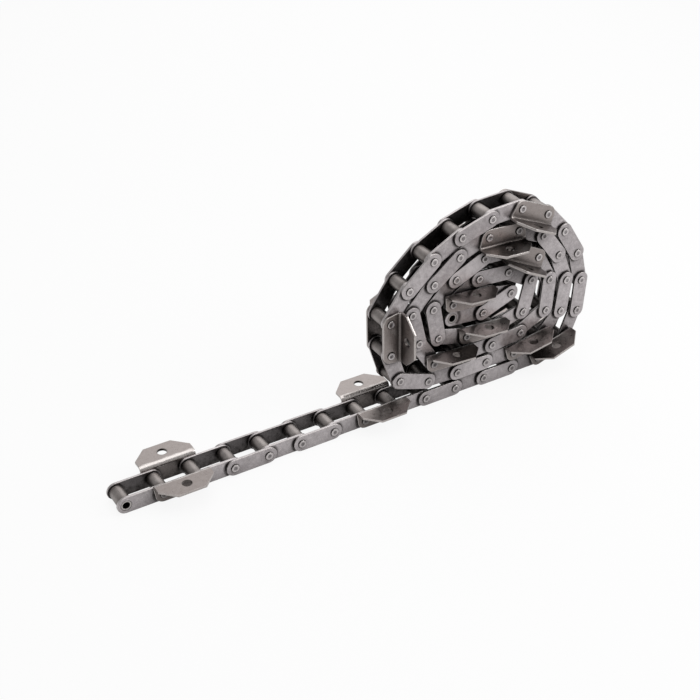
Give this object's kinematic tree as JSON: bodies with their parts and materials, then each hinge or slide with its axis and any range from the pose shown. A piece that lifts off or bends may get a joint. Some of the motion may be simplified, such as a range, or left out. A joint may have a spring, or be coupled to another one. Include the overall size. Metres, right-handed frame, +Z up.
{
  "type": "conveyor chain",
  "caption": "Steel roller conveyor chain with carrying tabs bent out on both sides at regular intervals, its free end laid out flat and the rest rolled up.",
  "frame": {"origin": "centre of the open bush at the chain's free end, on the chain's mid-plane", "axes": "+X along the flat run, from the free end towards the roll; +Y across the chain, along the pins; +Z up, the side of the flat run that the tabs are bent on and the roll stands on"},
  "size_m": [0.622, 0.0914, 0.2366],
  "materials": {
    "inner_plate_steel": "dull stamped steel with a thin oil film",
    "outer_plate_steel": "dull stamped steel with a thin oil film",
    "tab_plate_steel": "dull stamped and bent steel with a thin oil film",
    "bush_steel": "case-hardened, dull",
    "roller_steel": "turned and hardened, lightly oiled",
    "pin_steel": "turned shank with riveted heads"
  },
  "bodies": {
    "link_00": {"link_00_inner_plates": "inner_plate_steel", "link_00_bushes": "bush_steel"},
    "link_01": {"link_01_tab_plates": "tab_plate_steel", "link_01_pins": "pin_steel"},
    "link_02": {"link_02_inner_plates": "inner_plate_steel", "link_02_bushes": "bush_steel"},
    "link_03": {"link_03_outer_plates": "outer_plate_steel", "link_03_pins": "pin_steel"},
    "link_04": {"link_04_inner_plates": "inner_plate_steel", "link_04_bushes": "bush_steel"},
    "link_05": {"link_05_outer_plates": "outer_plate_steel", "link_05_pins": "pin_steel"},
    "link_06": {"link_06_inner_plates": "inner_plate_steel", "link_06_bushes": "bush_steel"},
    "link_07": {"link_07_tab_plates": "tab_plate_steel", "link_07_pins": "pin_steel"},
    "link_08": {"link_08_inner_plates": "inner_plate_steel", "link_08_bushes": "bush_steel"},
    "link_09": {"link_09_outer_plates": "outer_plate_steel", "link_09_pins": "pin_steel"},
    "link_10": {"link_10_inner_plates": "inner_plate_steel", "link_10_bushes": "bush_steel"},
    "link_11": {"link_11_outer_plates": "outer_plate_steel", "link_11_pins": "pin_steel"},
    "link_12": {"link_12_inner_plates": "inner_plate_steel", "link_12_bushes": "bush_steel"},
    "roller_00": {"roller_00": "roller_steel"},
    "roller_01": {"roller_01": "roller_steel"},
    "roller_02": {"roller_02": "roller_steel"},
    "roller_03": {"roller_03": "roller_steel"},
    "roller_04": {"roller_04": "roller_steel"},
    "roller_05": {"roller_05": "roller_steel"},
    "roller_06": {"roller_06": "roller_steel"},
    "roller_07": {"roller_07": "roller_steel"},
    "roller_08": {"roller_08": "roller_steel"},
    "roller_09": {"roller_09": "roller_steel"},
    "roller_10": {"roller_10": "roller_steel"},
    "roller_11": {"roller_11": "roller_steel"},
    "roller_12": {"roller_12": "roller_steel"},
    "roller_13": {"roller_13": "roller_steel"},
    "roll": {"outer_turn_inner_plates": "inner_plate_steel", "outer_turn_bushes": "bush_steel", "outer_turn_outer_plates": "outer_plate_steel", "outer_turn_tab_plates": "tab_plate_steel", "outer_turn_pins": "pin_steel", "outer_turn_rollers": "roller_steel", "middle_turn_inner_plates": "inner_plate_steel", "middle_turn_bushes": "bush_steel", "middle_turn_outer_plates": "outer_plate_steel", "middle_turn_tab_plates": "tab_plate_steel", "middle_turn_pins": "pin_steel", "middle_turn_rollers": "roller_steel", "core_inner_plates": "inner_plate_steel", "core_bushes": "bush_steel", "core_outer_plates": "outer_plate_steel", "core_tab_plates": "tab_plate_steel", "core_pins": "pin_steel", "core_rollers": "roller_steel"}
  },
  "joints": [
    {"name": "pin_01", "type": "hinge", "parent": "link_01", "child": "link_00", "pos_m": [0.042, 0, 0], "axis": [0, 1, 0], "range_deg": [-120, 120]},
    {"name": "pin_02", "type": "hinge", "parent": "link_02", "child": "link_01", "pos_m": [0.084, 0, 0], "axis": [0, -1, 0], "range_deg": [-120, 120]},
    {"name": "pin_03", "type": "hinge", "parent": "link_03", "child": "link_02", "pos_m": [0.126, 0, 0], "axis": [0, 1, 0], "range_deg": [-120, 120]},
    {"name": "pin_04", "type": "hinge", "parent": "link_04", "child": "link_03", "pos_m": [0.168, 0, 0], "axis": [0, -1, 0], "range_deg": [-120, 120]},
    {"name": "pin_05", "type": "hinge", "parent": "link_05", "child": "link_04", "pos_m": [0.21, 0, 0], "axis": [0, 1, 0], "range_deg": [-120, 120]},
    {"name": "pin_06", "type": "hinge", "parent": "link_06", "child": "link_05", "pos_m": [0.252, 0, 0], "axis": [0, -1, 0], "range_deg": [-105, 120]},
    {"name": "pin_07", "type": "hinge", "parent": "link_07", "child": "link_06", "pos_m": [0.294, 0, 0], "axis": [0, 1, 0], "range_deg": [-120, 90]},
    {"name": "pin_08", "type": "hinge", "parent": "link_08", "child": "link_07", "pos_m": [0.336, 0, 0], "axis": [0, -1, 0], "range_deg": [-50, 120]},
    {"name": "pin_09", "type": "hinge", "parent": "link_09", "child": "link_08", "pos_m": [0.378, 0, 0], "axis": [0, 1, 0], "range_deg": [-90, 12]},
    {"name": "pin_10", "type": "hinge", "parent": "link_10", "child": "link_09", "pos_m": [0.42, 0, 0], "axis": [0, -1, 0], "range_deg": [0, 90]},
    {"name": "pin_11", "type": "hinge", "parent": "link_11", "child": "link_10", "pos_m": [0.462, 0, 0], "axis": [0, 1, 0], "range_deg": [-90, 0]},
    {"name": "pin_12", "type": "hinge", "parent": "link_12", "child": "link_11", "pos_m": [0.504, 0, 0], "axis": [0, -1, 0], "range_deg": [0, 60]},
    {"name": "pin_13", "type": "hinge", "parent": "roll", "child": "link_12", "pos_m": [0.546, 0, 0], "axis": [0, 1, 0], "range_deg": [-60, 0]},
    {"name": "roller_00_spin", "type": "hinge", "parent": "link_00", "child": "roller_00", "pos_m": [0, 0, 0], "axis": [0, 1, 0], "continuous": true},
    {"name": "roller_01_spin", "type": "hinge", "parent": "link_00", "child": "roller_01", "pos_m": [0.042, 0, 0], "axis": [0, 1, 0], "continuous": true},
    {"name": "roller_02_spin", "type": "hinge", "parent": "link_02", "child": "roller_02", "pos_m": [0.084, 0, 0], "axis": [0, 1, 0], "continuous": true},
    {"name": "roller_03_spin", "type": "hinge", "parent": "link_02", "child": "roller_03", "pos_m": [0.126, 0, 0], "axis": [0, 1, 0], "continuous": true},
    {"name": "roller_04_spin", "type": "hinge", "parent": "link_04", "child": "roller_04", "pos_m": [0.168, 0, 0], "axis": [0, 1, 0], "continuous": true},
    {"name": "roller_05_spin", "type": "hinge", "parent": "link_04", "child": "roller_05", "pos_m": [0.21, 0, 0], "axis": [0, 1, 0], "continuous": true},
    {"name": "roller_06_spin", "type": "hinge", "parent": "link_06", "child": "roller_06", "pos_m": [0.252, 0, 0], "axis": [0, 1, 0], "continuous": true},
    {"name": "roller_07_spin", "type": "hinge", "parent": "link_06", "child": "roller_07", "pos_m": [0.294, 0, 0], "axis": [0, 1, 0], "continuous": true},
    {"name": "roller_08_spin", "type": "hinge", "parent": "link_08", "child": "roller_08", "pos_m": [0.336, 0, 0], "axis": [0, 1, 0], "continuous": true},
    {"name": "roller_09_spin", "type": "hinge", "parent": "link_08", "child": "roller_09", "pos_m": [0.378, 0, 0], "axis": [0, 1, 0], "continuous": true},
    {"name": "roller_10_spin", "type": "hinge", "parent": "link_10", "child": "roller_10", "pos_m": [0.42, 0, 0], "axis": [0, 1, 0], "continuous": true},
    {"name": "roller_11_spin", "type": "hinge", "parent": "link_10", "child": "roller_11", "pos_m": [0.462, 0, 0], "axis": [0, 1, 0], "continuous": true},
    {"name": "roller_12_spin", "type": "hinge", "parent": "link_12", "child": "roller_12", "pos_m": [0.504, 0, 0], "axis": [0, 1, 0], "continuous": true},
    {"name": "roller_13_spin", "type": "hinge", "parent": "link_12", "child": "roller_13", "pos_m": [0.546, 0, 0], "axis": [0, 1, 0], "continuous": true}
  ]
}
